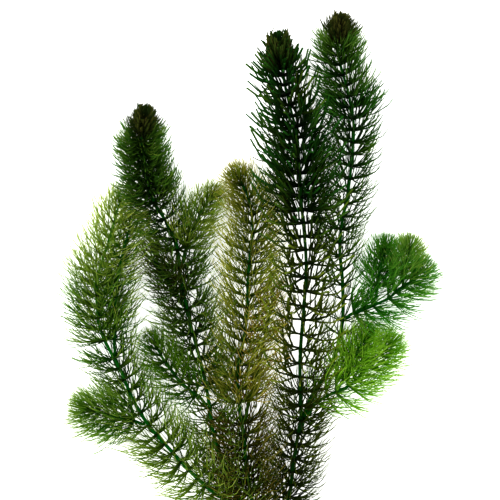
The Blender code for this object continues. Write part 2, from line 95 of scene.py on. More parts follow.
# How whorl spacing, leaf length and lean change down a shoot: (distance from its tip, value).
LONG_SPACING = [(0, 2.3), (10, 3.4), (20, 6), (80, 6.8), (130, 7.8), (200, 8), (270, 7)]
LONG_LENGTH = [(0, 10), (4, 12), (10, 16), (20, 21), (35, 24.5), (45, 27), (60, 30.5), (96, 31),
               (108, 26), (190, 26), (205, 29), (260, 29)]
STEPPED_LENGTH = [(0, 10), (4, 14), (10, 20), (20, 24), (35, 24.5), (43, 29), (70, 29), (110, 28),
                  (260, 28)]
STEPPED_LEAN = [(0, 9), (4, 28), (10, 50), (20, 57), (40, 62), (85, 60), (110, 50), (250, 52)]
LONG_LEAN = [(0, 9), (4, 28), (10, 50), (20, 56), (40, 60), (90, 64), (108, 74), (190, 74),
             (210, 64), (250, 64)]
CROWN_SPACING = [(0, 2.3), (8, 3.2), (40, 4.3), (55, 6), (150, 7.5), (250, 6.5)]
CROWN_LENGTH = [(0, 10), (4, 12), (10, 17), (19, 22), (38, 23), (48, 27), (80, 29.5), (140, 29.5),
                (250, 28)]
CROWN_LEAN = [(0, 9), (4, 26), (10, 46), (20, 54), (40, 57), (90, 62), (250, 64)]
BRUSH_SPACING = [(0, 3.3), (10, 4.5), (50, 6), (120, 7), (200, 6)]
BRUSH_LENGTH = [(0, 13), (5, 19), (14, 24), (30, 28), (60, 29), (110, 29), (135, 33), (250, 33)]
BRUSH_LEAN = [(0, 16), (5, 32), (15, 46), (30, 52), (55, 57), (250, 62)]
ARCHED_LEAN = [(0, 16), (5, 32), (15, 46), (30, 52), (55, 57), (120, 62), (150, 76), (250, 78)]

# Leaf thread width, as a share of the modelled leaf's, by distance from the shoot's tip.
STOUT = [(0, 1.0), (15, 1.15), (57, 1.15), (103, 1.05), (190, 0.95), (280, 0.95)]
FULL = [(0, 0.9), (15, 1.1), (60, 1.1), (90, 1.05), (250, 1.0)]
SLENDER = [(0, 0.9), (15, 1.2), (60, 1.25), (90, 1.1), (115, 0.9), (200, 0.85)]
FINE = [(0, 0.7), (15, 0.85), (50, 0.95), (250, 1.0)]

# The shoots, laid out and named as in the solids. Five of the keys shape only the visual
# model: leaves says how many leaves of each kind a whorl has, bud how large the closed bud
# at the tip is, upper_lean how far a leaf on the upper side leans, width which table its
# threads follow, and tones how old the leaves are, from 0 for fresh to 1 for old. Leaves and
# tones count from the distance from the tip, as the tables above do.
SHOOTS = {
    "dark_stem": dict(
        parent=None,
        pieces=["cut_base", "dark_stem_lower", "dark_stem_upper"],
        route=[(9, -149, 1.25), (9.5, -140.5, 2.6), (15, -131.5, 4.5), (21.5, -121, 7.5),
               (24, -102, 12), (26.5, -85.5, 17), (28, -76, 20), (27.5, -60, 23),
               (27.5, -41.5, 25), (29, -21, 26.5), (30.5, -1.5, 27), (30.5, 14, 27),
               (28.5, 37.5, 26), (27, 63.5, 23), (25.5, 80, 20.5), (20, 102.5, 16.5),
               (17, 119, 13.5), (16, 128, 12)],
        radius=MAIN_STEM_RADIUS, spacing=LONG_SPACING, length=LONG_LENGTH, lean=LONG_LEAN,
        leaf_scale=1.0, bare=14, bud=1.0, upper_lean=92, width=STOUT,
        leaves=[(0, dict(stout=9)), (45, dict(stout=9, fine=6)), (62, dict(stout=9, fine=20)),
                (94, dict(stout=9, fine=3)), (106, dict(stout=8)), (150, dict(stout=7)),
                (190, dict(long=18))],
        tones=[(0, 0.05), (92, 0.05), (115, 0.6), (170, 0.75), (225, 0.85), (250, 0.5)],
    ),
    "pale_stem": dict(
        parent="dark_stem",
        pieces=["left_limb", "pale_stem_lower", "pale_stem_upper"],
        route=[(8, -139, 2.6), (4, -131.5, 3.6), (1, -122, 5), (-2, -105.5, 8), (-3.5, -87, 10.5),
               (-7, -60, 11), (-5.5, -43, 11), (-2.5, -28.5, 11), (-1.5, -13.5, 11),
               (-0.5, 8, 11), (1.5, 26.5, 11), (-0.5, 43, 10.5), (-6, 55.5, 9.5)],
        radius=MAIN_STEM_RADIUS, spacing=BRUSH_SPACING, length=BRUSH_LENGTH, lean=BRUSH_LEAN,
        leaf_scale=1.0, bare=9, bud=0, upper_lean=92, width=FINE,
        leaves=[(0, dict(fine=20)), (40, dict(fine=22)), (110, dict(long=15, fine=15)),
                (135, dict(long=17))],
        tones=[(0, 0.35), (60, 0.05), (110, 0.15), (140, 0.75), (165, 1)],
    ),
    "left_stem": dict(
        parent="pale_stem",
        pieces=["outer_left_limb", "left_stem_lower", "left_stem_middle", "left_stem_high",
                "left_stem_upper"],
        route=[(4, -131.5, 3.6), (-1, -127, 4.6), (-6.5, -121, 6), (-12.5, -109, 9.5),
               (-17.5, -96, 13), (-20.5, -83.5, 15), (-22.5, -69, 16), (-26, -50.5, 16),
               (-31, -32, 15.5), (-34.5, -17.5, 15), (-38, -1.5, 15), (-40.5, 19.5, 15),
               (-46, 31, 15), (-52.5, 41.5, 15), (-57, 56, 15), (-59.5, 74, 15),
               (-58, 88.5, 14)],
        radius=MAIN_STEM_RADIUS, spacing=CROWN_SPACING, length=CROWN_LENGTH, lean=CROWN_LEAN,
        leaf_scale=1.0, bare=8, bud=0.75, upper_lean=114, width=FULL,
        leaves=[(0, dict(fine=34)), (50, dict(fine=18)), (75, dict(fine=16, long=10)),
                (130, dict(long=13)), (165, dict(long=9))],
        tones=[(0, 0.3), (25, 0.05), (60, 0.05), (140, 0.3), (170, 0.55), (190, 0.5)],
    ),
    "outer_left_stem": dict(
        parent="left_stem",
        pieces=["outer_left_stem_lower", "outer_left_stem_middle", "outer_left_stem_upper"],
        route=[(-1.5, -127, 4.6), (-9, -124.5, 6.5), (-18.5, -119.5, 9), (-30, -109.5, 11.5),
               (-45.5, -93, 13), (-57, -79.5, 13), (-65, -66, 13), (-71.5, -50.5, 13),
               (-78, -38.5, 13), (-82.5, -28, 13), (-84.5, -14, 13), (-83.5, 3, 13),
               (-78, 20, 12.5), (-74.5, 33, 11.5), (-72, 43, 10.5)],
        radius=MAIN_STEM_RADIUS, spacing=BRUSH_SPACING, length=BRUSH_LENGTH, lean=ARCHED_LEAN,
        leaf_scale=0.97, bare=8, bud=0, upper_lean=92, width=FINE,
        leaves=[(0, dict(fine=14)), (40, dict(fine=27)), (75, dict(fine=24)), (95, dict(long=15)),
                (140, dict(long=19)), (165, dict(long=12))],
        tones=[(0, 0.95), (40, 0.75), (55, 0.15), (110, 0.15), (140, 0.5), (180, 0.6)],
    ),
    "outer_left_shoot": dict(
        parent="outer_left_stem",
        pieces=["outer_left_shoot"],
        route=[(-57, -79.5, 13), (-63, -79, 13), (-70, -77.5, 12.5), (-80, -75, 12),
               (-90, -72, 10.5)],
        radius=SIDE_SHOOT_RADIUS, spacing=BRUSH_SPACING, length=BRUSH_LENGTH, lean=BRUSH_LEAN,
        leaf_scale=1.15, bare=4, bud=0, upper_lean=92, width=FINE,
        leaves=[(0, dict(fine=22))],
        tones=[(0, 0.5), (20, 0.3), (60, 0.3)],
    ),
    "outer_left_high_shoot": dict(
        parent="outer_left_stem",
        pieces=["outer_left_high_shoot"],
        route=[(-76, -42, 13), (-74.8, -36, 15), (-74, -28, 17.5), (-73.5, -12, 20.5),
               (-72.5, 0, 21.5), (-70, 13, 21), (-67, 25, 19.5), (-65.5, 32, 18)],
        radius=SIDE_SHOOT_RADIUS, spacing=BRUSH_SPACING, length=BRUSH_LENGTH, lean=BRUSH_LEAN,
        leaf_scale=0.85, bare=5, bud=0, upper_lean=92, width=FINE,
        leaves=[(0, dict(fine=11))],
        tones=[(0, 0.4), (20, 0.05), (70, 0.1)],
    ),
    "left_low_shoot": dict(
        parent="left_stem",
        pieces=["left_low_shoot"],
        route=[(-22.5, -69, 16), (-27, -66, 17), (-32.5, -62, 17.5), (-39, -56, 17),
               (-45, -48.5, 15.5), (-50, -41, 14), (-53, -35.5, 12.5)],
        radius=SIDE_SHOOT_RADIUS, spacing=BRUSH_SPACING, length=BRUSH_LENGTH, lean=BRUSH_LEAN,
        leaf_scale=0.9, bare=5, bud=0, upper_lean=92, width=FINE,
        leaves=[(0, dict(fine=18)), (30, dict(long=10))],
        tones=[(0, 0.4), (60, 0.4)],
    ),
    "left_middle_shoot": dict(
        parent="left_stem",
        pieces=["left_middle_shoot"],
        route=[(-35, -15, 15), (-38.5, -11.5, 17), (-43, -5, 19.5), (-48, 3, 21),
               (-52.5, 10, 21), (-55, 15, 20)],
        radius=SIDE_SHOOT_RADIUS, spacing=BRUSH_SPACING, length=BRUSH_LENGTH, lean=BRUSH_LEAN,
        leaf_scale=0.75, bare=4, bud=0, upper_lean=92, width=FINE,
        leaves=[(0, dict(fine=10))],
        tones=[(0, 0.5), (60, 0.2)],
    ),
    "left_high_shoot": dict(
        parent="left_stem",
        pieces=["left_high_shoot"],
        route=[(-39, 8, 15), (-36, 14, 14.5), (-33, 22, 13.5), (-29.5, 31, 12.5), (-25, 40, 11.5),
               (-21, 46, 10.5)],
        radius=SIDE_SHOOT_RADIUS, spacing=BRUSH_SPACING, length=BRUSH_LENGTH, lean=BRUSH_LEAN,
        leaf_scale=0.85, bare=5, bud=0, upper_lean=92, width=FINE,
        leaves=[(0, dict(fine=20))],
        tones=[(0, 0.5), (60, 0.4)],
    ),
    "pale_side_shoot": dict(
        parent="pale_stem",
        pieces=["pale_side_shoot"],
        route=[(-4.5, -78, 10.5), (-1, -70, 11.5), (2.5, -58.5, 12), (6.5, -40, 12),
               (10, -23, 12), (13, -8, 11)],
        radius=SIDE_SHOOT_RADIUS, spacing=BRUSH_SPACING, length=BRUSH_LENGTH, lean=BRUSH_LEAN,
        leaf_scale=0.85, bare=6, bud=0, upper_lean=92, width=FINE,
        leaves=[(0, dict(fine=6)), (22, dict(long=4))],
        tones=[(0, 0.4), (60, 0.4)],
    ),
    "right_stem": dict(
        parent="dark_stem",
        pieces=["right_limb", "right_stem_lower", "right_stem_upper"],
        route=[(26.5, -83, 17.5), (29.5, -76, 17.5), (32, -69, 18), (36, -61.5, 18),
               (43.5, -50.5, 18), (48, -38, 17.5), (51, -22, 17), (51, -3, 16.5),
               (49.5, 15.5, 16), (50.5, 30, 16), (54, 48, 16), (56.5, 70.5, 16), (57, 86, 16),
               (54, 103, 15), (49, 122, 13), (50, 139.5, 10.5)],
        radius=MAIN_STEM_RADIUS, spacing=LONG_SPACING, length=STEPPED_LENGTH, lean=STEPPED_LEAN,
        leaf_scale=0.92, bare=5, bud=0.75, upper_lean=96, width=SLENDER,
        leaves=[(0, dict(fine=30)), (55, dict(long=13)), (85, dict(long=10)), (110, dict(long=15)),
                (130, dict(long=6))],
        tones=[(0, 0.5), (14, 0.5), (22, 0.2), (30, 0.05), (60, 0.05), (120, 0.4), (200, 0.6)],
    ),
    "low_right_shoot": dict(
        parent="right_stem",
        pieces=["low_right_shoot_lower", "low_right_shoot_upper"],
        route=[(30.5, -74, 17.5), (34.5, -70.5, 17.5), (40, -66, 17.5), (47, -62.5, 17),
               (53, -60, 16.5), (59, -55, 16), (66, -47.5, 15), (74, -40, 13.5), (77, -37, 12.5)],
        radius=SIDE_SHOOT_RADIUS, spacing=BRUSH_SPACING, length=BRUSH_LENGTH, lean=BRUSH_LEAN,
        leaf_scale=1.0, bare=4, bud=0, upper_lean=92, width=FINE,
        leaves=[(0, dict(fine=22)), (40, dict(long=6))],
        tones=[(0, 0.3), (60, 0.5)],
    ),
    "low_right_twig": dict(
        parent="low_right_shoot",
        pieces=["low_right_twig"],
        route=[(49, -61.5, 17), (51, -56, 19), (54.5, -48, 20.5), (59, -39.5, 21), (64, -31.5, 20)],
        radius=SIDE_SHOOT_RADIUS, spacing=BRUSH_SPACING, length=BRUSH_LENGTH, lean=BRUSH_LEAN,
        leaf_scale=0.9, bare=5, bud=0, upper_lean=92, width=FINE,
        leaves=[(0, dict(fine=20))],
        tones=[(0, 0.3), (60, 0.5)],
    ),
    "right_side_shoot": dict(
        parent="right_stem",
        pieces=["right_side_shoot_lower", "right_side_shoot_middle", "right_side_shoot_upper"],
        route=[(51.5, -21.5, 17), (56, -19.5, 17), (62, -17.5, 16.5), (70, -14, 16),
               (77, -10.5, 15), (82, -6, 14.5), (90, -1, 13), (94, 3.5, 12)],
        radius=SIDE_SHOOT_RADIUS, spacing=BRUSH_SPACING, length=BRUSH_LENGTH, lean=BRUSH_LEAN,
        leaf_scale=1.05, bare=4, bud=0, upper_lean=92, width=FINE,
        leaves=[(0, dict(fine=21)), (35, dict(long=17))],
        tones=[(0, 0.4), (60, 0.3)],
    ),
    "right_inner_twig": dict(
        parent="right_side_shoot",
        pieces=["right_inner_twig"],
        route=[(69, -14.5, 16), (69.5, -9, 17.5), (70.5, 0, 19), (72.5, 9, 19), (74.5, 17, 18)],
        radius=SIDE_SHOOT_RADIUS, spacing=BRUSH_SPACING, length=BRUSH_LENGTH, lean=BRUSH_LEAN,
        leaf_scale=0.85, bare=5, bud=0, upper_lean=92, width=FINE,
        leaves=[(0, dict(fine=24))],
        tones=[(0, 0.5), (30, 0.2)],
    ),
    "right_outer_twig": dict(
        parent="right_side_shoot",
        pieces=["right_outer_twig"],
        route=[(81, -7, 14.5), (83, -2, 14), (86, 8, 13), (88, 17, 11)],
        radius=SIDE_SHOOT_RADIUS, spacing=BRUSH_SPACING, length=BRUSH_LENGTH, lean=BRUSH_LEAN,
        leaf_scale=0.85, bare=5, bud=0, upper_lean=92, width=FINE,
        leaves=[(0, dict(fine=24))],
        tones=[(0, 0.4), (60, 0.4)],
    ),
}

# The colors of the leaf. Each shoot has its stem's color, then a fresh leaf's at its foot,
# middle and end, and then an old leaf's at the same places. Over the leaf's own green, the
# darker feet are painted shade where the whorls crowd the stem, and the lighter ends are
# painted light shining through the thin threads.
COLORS = {
    "dark_stem": ("0a3406", ("020a02", "082406", "185216"), ("0e1a02", "36420a", "7e8a28")),
    "pale_stem": ("0a4c0e", ("143a06", "6e8018", "d6d460"), ("0a0c02", "36300a", "86702c")),
    "left_stem": ("0a540e", ("041602", "143608", "4a8024"), ("1c3c06", "5e7a1c", "b0bc50")),
    "outer_left_stem": ("0c6012", ("042602", "144808", "70a430"), ("2c4c06", "84a028", "d4da78")),
    "outer_left_shoot": ("0c4c0c", ("083a03", "2c640c", "80a838"), ("244406", "60801e", "b0c25c")),
    "outer_left_high_shoot": ("104a0c", ("0a3004", "245a08", "98b440"),
                              ("344408", "888e2c", "d0d068")),
    "left_low_shoot": ("10500c", ("0c3403", "2a600a", "5c9018"), ("223e05", "507010", "92ae3c")),
    "left_middle_shoot": ("0c2a08", ("102008", "2a4212", "4a6220"), ("1e1806", "423e12", "605a20")),
    "left_high_shoot": ("104e0c", ("184206", "4e7818", "98b03c"), ("3a4c08", "80902e", "bcc45c")),
    "pale_side_shoot": ("2c4c08", ("4c5008", "b09e32", "dcca6c"), ("4c3a08", "a08428", "ccb45c")),
    "right_stem": ("084c08", ("031603", "0c3006", "32701e"), ("183e04", "4c7018", "94b04e")),
    "low_right_shoot": ("105c0c", ("1c6204", "5a980e", "9ac838"), ("346c08", "74a820", "b6d858")),
    "low_right_twig": ("105c0c", ("1c6204", "5a980e", "9ac838"), ("346c08", "74a820", "b6d858")),
    "right_side_shoot": ("0c500c", ("084e06", "22760e", "569e34"), ("286408", "528820", "94b84c")),
    "right_inner_twig": ("0a4c0c", ("063e04", "1e6c0c", "4c942c"), ("1c5008", "487c18", "7ca43c")),
    "right_outer_twig": ("0c500a", ("144c06", "427c18", "88ae48"), ("305a08", "6a8c26", "a8ba5c")),
}

# Young leaves are brownish, so the shoots that end in a closed bud have these at their tips.
# Here too the darker feet are painted shade and the lighter ends painted light.
TIP_COLORS = ("081404", ("040f03", "0b2407", "1a4210"), ("121404", "2c2c10", "545222"))
BROWN_TIPS = ("dark_stem", "left_stem", "right_stem")

# The plan of a leaf, in millimetres of the modelled leaf: y along it, x toward the shoot's
# tip. A thread goes on through its points, and forks at its last point.
LEAF_LENGTH = 22.0
LONG_PLAN = dict(
    points=[(0.1, 3.8)],
    fork=(
        dict(points=[(-0.6, 7.8)],
             fork=(dict(points=[(-1.2, 13.0), (-1.6, 22.0)]),
                   dict(points=[(0.5, 12.4), (1.0, 20.4)]))),
        dict(points=[(1.7, 7.4)],
             fork=(dict(points=[(2.5, 12.6), (3.4, 21.2)]),
                   dict(points=[(4.0, 12.0), (5.8, 18.6)]))),
    ),
)
FINE_PLAN = dict(
    points=[(0.1, 4.8)],
    fork=(
        dict(points=[(-0.7, 10.4)],
             fork=(dict(points=[(-1.5, 16.4), (-1.9, 22.0)]),
                   dict(points=[(0.4, 15.0), (0.9, 19.6)]))),
        dict(points=[(1.9, 9.6)],
             fork=(dict(points=[(2.5, 15.2), (3.4, 21.0)]),
                   dict(points=[(4.2, 13.8), (5.9, 17.4)]))),
    ),
)
STOUT_PLAN = dict(
    points=[(0.2, 4.6)],
    fork=(
        dict(points=[(-0.9, 10.2)],
             fork=(dict(points=[(-2.2, 15.0), (-2.8, 22.0)]),
                   dict(points=[(0.7, 14.6), (1.5, 20.8)]))),
        dict(points=[(3.1, 8.6)],
             fork=(dict(points=[(4.2, 13.0), (5.6, 19.0)]),
                   dict(points=[(6.2, 11.0), (9.2, 15.6)]))),
    ),
)
BUD_PLAN = dict(
    points=[(0.0, 4.5), (0.0, 9.0), (0.2, 13.0)],
    fork=(dict(points=[(-0.4, 17.5), (-0.6, 22.0)]),
          dict(points=[(1.0, 16.0), (1.4, 20.0)])),
)
POINTED = 0

# Two small shifts that settle ties. Of two faces that are equally near, the upper one is
# picked, and a point that is equally near to two centres belongs to the earlier one.
UPPER_FIRST = np.array([0.0, 0.0, 0.01])
EARLIER_FIRST = 0.0001

# Each kind of leaf: its plan, how wide its thread is at the foot, and what is left of that
# at each point, at a fork and at the end.
LEAF_KINDS = {
    "fine": (FINE_PLAN, 0.62, (0.9, 0.85, POINTED)),
    "long": (LONG_PLAN, 0.78, (0.9, 0.82, POINTED)),
    "stout": (STOUT_PLAN, 0.9, (1.0, 0.94, 0.85)),
    "bud": (BUD_PLAN, 1.0, (1.0, 0.9, 0.5)),
}

# How far a leaf leaves the stem wider than it leans, and how far it then turns back, as
# shares of its lean.
BEND_OUT = dict(stout=0.35, fine=0.3, long=0.34)
BEND_BACK = dict(stout=0.75, fine=0.55, long=0.75)

# How much of that turning back a leaf loses that stands up from the stem.
HELD_UP = dict(stout=0.9, fine=0.3, long=0.8, bud=0.3)

# The closed bud. Each pair is for its lowest row of leaves and its highest.
BUD_ROWS = 9
BUD_LEAVES = 13
BUD_HEIGHT = 12.0
BUD_LEAF = (15, 12)
BUD_LEAN = (66, 20)
BUD_BEND_OUT = 35
BUD_BEND_BACK = (120, 50)
BUD_WIDTH = (1.1, 0.8)
BUD_TONE = 0.45

# Every random draw comes from this seed.
SEED = 11

# How unlike the leaves of a whorl are, in their tone, place, length, lean, bend, turn and width.
WHORL_TONE_SPREAD = 0.08
LEAF_TONE_SPREAD = 0.14
TONE_RANGE = (0.02, 0.95)
AZIMUTH_JITTER = 0.25
FOOT_JITTER = 0.4
LENGTH_RANGE = (0.86, 1.1)
LEAN_SPREAD = 6
BEND_OUT_SPREAD = 4
BEND_BACK_SPREAD = 6
ROLL_SPREAD = 0.4
WIDTH_RANGE = (0.9, 1.1)

# A leaf starts inside the stem, at this share of the stem's radius. Its centre line has this
# many steps, and never turns further past the stem's direction than this.
FOOT_DEPTH = 0.6
CURVE_STEPS = 10
MOST_TURNED = -60

# Added to a leaf's sideways direction, which has no length where the leaf runs along the stem.
NEVER_ZERO = 1e-6

# Leaves keep this far off the floor. One that meets it comes down to that level, and each step
# keeps this share of the height of the last.
FLOOR_CLEARANCE = 0.4
SETTLING = 0.6


def unit(vectors):
    """Vectors of the same directions with a length of 1."""
    return vectors / np.linalg.norm(vectors, axis=-1, keepdims=True)


def smooth_curve(points):
    """A dense Catmull-Rom curve through given points."""
    points = np.array(points, float)
    ends = [2 * points[0] - points[1], *points, 2 * points[-1] - points[-2]]
    dense = []
    for a, b, c, d in zip(ends, ends[1:], ends[2:], ends[3:]):
        steps = max(2, int(np.linalg.norm(c - b) / ROUTE_STEP))
        for t in np.arange(steps) / steps:
            dense.append(0.5 * (2 * b + (c - a) * t + (2 * a - 5 * b + 4 * c - d) * t**2
                                + (3 * b - 3 * c + d - a) * t**3))
    return np.array(dense + [points[-1]])


class Route:
    """A stem's centre line, read by the distance from its foot."""

    def __init__(self, points):
        self.points = smooth_curve(points)
        steps = np.linalg.norm(np.diff(self.points, axis=0), axis=1)
        self.s = np.concatenate([[0.0], np.cumsum(steps)])
        self.length = self.s[-1]

    def at(self, s):
        """The point at a distance from the foot."""
        return np.array([np.interp(s, self.s, self.points[:, k]) for k in range(3)])

    def frame(self, s):
        """The stem's direction, its side and its upper side at a distance from the foot."""
        ahead = unit(self.at(min(s + 1, self.length)) - self.at(max(s - 1, 0)))
        side = unit(np.cross(ahead, UP))
        return ahead, side, np.cross(side, ahead)

    def nearest(self, point):
        """The distance from the foot at which the line passes nearest to a point."""
        return self.s[np.argmin(np.linalg.norm(self.points - point, axis=1))]


def table_value(table, x):
    """A table's value at x, on a straight line between its rows."""
    return float(np.interp(x, [row[0] for row in table], [row[1] for row in table]))


def stem_radius(shoot, s):
    """The stem's radius at a distance from its foot, between two whorls."""
    return shoot["radius"] + (TIP_RADIUS - shoot["radius"]) * s / shoot["curve"].length


def lay_out_shoots():
    """Find each shoot's foot on its parent, its cuts and its whorls, as in the solids."""
    for shoot in SHOOTS.values():
        shoot["route"] = [np.array(point) + CENTERING for point in shoot["route"]]
        shoot["curve"] = Route(shoot["route"])
        shoot["forks"] = []
    for shoot in SHOOTS.values():
        parent = SHOOTS.get(shoot["parent"])
        if parent is None:
            continue
        at = parent["curve"].nearest(shoot["route"][0])
        ahead = parent["curve"].frame(at)[0]
        away = shoot["curve"].at(AIM_DISTANCE) - parent["curve"].at(at)
        away = unit(away - ahead * (away @ ahead))
        parent["forks"].append(at)
        start = parent["curve"].at(at) + away * (stem_radius(parent, at) + FOOT_GAP)
        turn = start + away * FIRST_TURN_OUT + ahead * FIRST_TURN_AHEAD
        shoot["curve"] = Route([start, turn, *shoot["route"][1:]])
    for shoot in SHOOTS.values():
        length = shoot["curve"].length
        cuts = [at + CUT_ABOVE_FORK for at in sorted(shoot["forks"])]
        cuts.append(length - GROWING_TIP_LENGTH)
        shoot["cuts"] = cuts
        shoot["whorls"] = []
        s = length - BARE_END
        while s > shoot["bare"]:
            if all(abs(s - c) > CLEAR_OF_CUT for c in [*cuts, *shoot["forks"]]):
                shoot["whorls"].append(s)
                s -= table_value(shoot["spacing"], length - s)
            else:
                s -= WHORL_SEARCH_STEP
        shoot["whorls"].reverse()


def select_face(leaf, near):
    """Select only the face whose centre is nearest to a point."""
    bm = bmesh.from_edit_mesh(leaf.data)
    for face in bm.faces:
        face.select_set(False)
    away = [np.linalg.norm(np.array(face.calc_center_median()) - near) for face in bm.faces]
    bm.faces.ensure_lookup_table()
    bm.faces[int(np.argmin(away))].select_set(True)
    bmesh.update_edit_mesh(leaf.data)


def extend_thread(center, to, shrink):
    """Extrude the selected end of a thread from one centre to the next and make it smaller."""
    bpy.ops.mesh.extrude_region_move(TRANSFORM_OT_translate={"value": to - center})
    bpy.ops.transform.resize(value=(shrink, shrink, shrink), center_override=to)


def grow_thread(leaf, center, width, plan, tapers, centers):
    """Extrude the selected face through the plan's points, then through its two forks."""
    along, at_fork, at_end = tapers
    for x, y in plan["points"]:
        to = np.array([x, y, 0.0])
        is_end = "fork" not in plan and (x, y) == plan["points"][-1]
        if is_end and at_end == POINTED:
            extend_thread(center, to, 1.0)
            bpy.ops.mesh.merge(type="CENTER")
        else:
            extend_thread(center, to, at_end if is_end else along)
        centers.append(to)
        width *= along
        center = to
    if "fork" in plan:
        crotch = center + np.array([0.0, width, 0.0])
        extend_thread(center, crotch, 1.0)
        centers.append(crotch)
        straight, turned = plan["fork"]
        width *= at_fork
        bpy.ops.transform.resize(value=(at_fork, 1, at_fork), center_override=crotch)
        grow_thread(leaf, crotch, width, straight, tapers, centers)
        side = (center + crotch) / 2 + np.array([width / 2, 0.0, 0.0])
        select_face(leaf, side + UPPER_FIRST)
        grow_thread(leaf, side, width, turned, tapers, centers)


class LeafShape:
    """The modelled leaf as arrays: thread centres, offsets from them, faces and UVs."""

    def __init__(self, plan, width, tapers):
        bpy.ops.mesh.primitive_plane_add(size=width, rotation=(-math.pi / 2, 0, 0))
        leaf = bpy.context.object
        bpy.ops.object.transform_apply(location=False, rotation=True, scale=False)
        bpy.ops.object.mode_set(mode="EDIT")
        bpy.ops.mesh.select_all(action="SELECT")
        centers = [np.zeros(3)]
        grow_thread(leaf, np.zeros(3), width, plan, tapers, centers)
        bpy.ops.object.mode_set(mode="OBJECT")
        verts = np.array([v.co for v in leaf.data.vertices])
        apart = np.linalg.norm(verts[:, None] - np.array(centers)[None], axis=2)
        apart += EARLIER_FIRST * np.arange(len(centers))
        self.centers = np.array(centers)[apart.argmin(axis=1)]
        self.offsets = verts - self.centers
        self.along = verts[:, 1] / LEAF_LENGTH
        self.faces = {3: [], 4: []}
        self.sides = {3: [], 4: []}
        for face in leaf.data.polygons:
            across = np.cross(face.normal, [0.0, 1.0, 0.0])
            corners = list(face.vertices)
            self.faces[len(corners)].append(corners)
            self.sides[len(corners)] += [float((verts[v] - face.center) @ across > 0)
                                         for v in corners]
        bpy.data.objects.remove(leaf, do_unlink=True)


class PieceMesh:
    """The points, faces and UVs of one piece, gathered before its mesh is made."""

    def __init__(self):
        self.verts = []
        self.faces = {3: [], 4: []}
        self.uvs = {3: [], 4: []}
        self.count = 0

    def add_points(self, verts):
        """Take in points and return the number that their faces' corners start from."""
        self.verts.append(verts)
        self.count += len(verts)
        return self.count - len(verts)

    def add_faces(self, faces, uvs):
        """Take in faces of three corners or of four, and a UV for each of their corners."""
        self.faces[faces.shape[-1]].append(faces)
        self.uvs[faces.shape[-1]].append(uvs)

    def build(self, name):
        """Make the piece's mesh and put it in the scene."""
        faces, uvs = [], []
        for corners in (3, 4):
            for some, their_uvs in zip(self.faces[corners], self.uvs[corners]):
                faces += some.tolist()
                uvs.append(their_uvs)
        mesh = bpy.data.meshes.new(name)
        mesh.from_pydata(np.concatenate(self.verts) * MM, [], faces)
        layer = mesh.uv_layers.new(name="OFBake")
        layer.data.foreach_set("uv", np.concatenate(uvs).ravel())
        piece = bpy.data.objects.new(name, mesh)
        bpy.context.scene.collection.objects.link(piece)
        return piece


STEM_SIDES = 8
STEM_RING_STEP = 1.5

# The UV map. A leaf's u is its tone, with a little width for each face, and a stem's u runs
# around it. Along v the stem comes first, then a leaf from its foot to its end.
TONE_U = 0.96
FACE_WIDTH_U = 0.02
STEM_U = (0.1, 0.9)
STEM_V = 0.06
LEAF_V = (0.1, 0.98)
STEM_END_UVS = [(0.1, 0.01), (0.2, 0.01), (0.2, 0.05), (0.1, 0.05)]


def add_stem(made, shoot, start, end, is_tip):
    """The stem of one piece, an eight-sided tube that is a little thicker at each whorl."""
    route = shoot["curve"]
    low = start - PIECE_OVERLAP
    high = end if is_tip else end + PIECE_OVERLAP
    whorls = [w for w in shoot["whorls"] if low < w < high]
    stations = set(np.linspace(low, high, max(3, int((high - low) / STEM_RING_STEP))))
    stations |= {w + d for w in whorls for d in (-SWELLING_SHOULDER, 0.0, SWELLING_SHOULDER)
                 if low < w + d < high}
    stations = sorted(stations)
    angles = np.arange(STEM_SIDES) * 2 * math.pi / STEM_SIDES
    rings = []
    for s in stations:
        ahead, side, top = route.frame(min(max(s, 0), route.length))
        near = min([abs(s - w) for w in whorls], default=SWELLING_REACH)
        swelling = 1 + (NODE_SWELLING - 1) * max(0, 1 - near / SWELLING_REACH)
        radius = stem_radius(shoot, s) * swelling
        if is_tip:
            radius *= 1 - TIP_TAPER * ((s - low) / (high - low))**2
        center = route.at(s) + ahead * min(s, 0)
        ring = np.outer(np.cos(angles), top) + np.outer(np.sin(angles), side)
        rings.append(center + ring * radius)
    n = STEM_SIDES
    faces, uvs = [], []
    for k in range(len(rings) - 1):
        v0, v1 = [STEM_V * (s - low) / (high - low) for s in stations[k:k + 2]]
        for i in range(n):
            j = (i + 1) % n
            faces.append([k * n + i, k * n + j, (k + 1) * n + j, (k + 1) * n + i])
            u0, u1 = [STEM_U[0] + (STEM_U[1] - STEM_U[0]) * x / n for x in (i, i + 1)]
            uvs += [(u0, v0), (u1, v0), (u1, v1), (u0, v1)]
    last = (len(rings) - 1) * n
    for end_ring, order in ((0, -1), (last, 1)):
        a, b, c, d, e, f, g, h = [end_ring + x for x in range(STEM_SIDES)]
        for quad in ([a, b, c, d], [a, d, e, h], [h, e, f, g]):
            faces.append(quad[::order])
            uvs += STEM_END_UVS
    first = made.add_points(np.concatenate(rings))
    made.add_faces(np.array(faces) + first, np.array(uvs))


def leaf_curves(foot, ahead, outward, length, lean, out, back):
    """Each leaf's centre line: it leaves wider than it leans, turns ahead and stays off the floor."""
    points = [foot]
    step = (length / CURVE_STEPS)[:, None]
    for k in range(CURVE_STEPS):
        share = k / (CURVE_STEPS - 1)
        angle = np.radians(np.maximum(lean + out - (out + back) * share, MOST_TURNED))[:, None]
        heading = np.cos(angle) * ahead + np.sin(angle) * outward
        following = points[-1] + heading * step
        flat = points[-1] + unit(heading * [1, 1, 0]) * step
        flat[:, 2] = np.maximum(points[-1][:, 2] * SETTLING, FLOOR_CLEARANCE)
        points.append(np.where(following[:, 2:] < FLOOR_CLEARANCE, flat, following))
    return np.stack(points, axis=1)


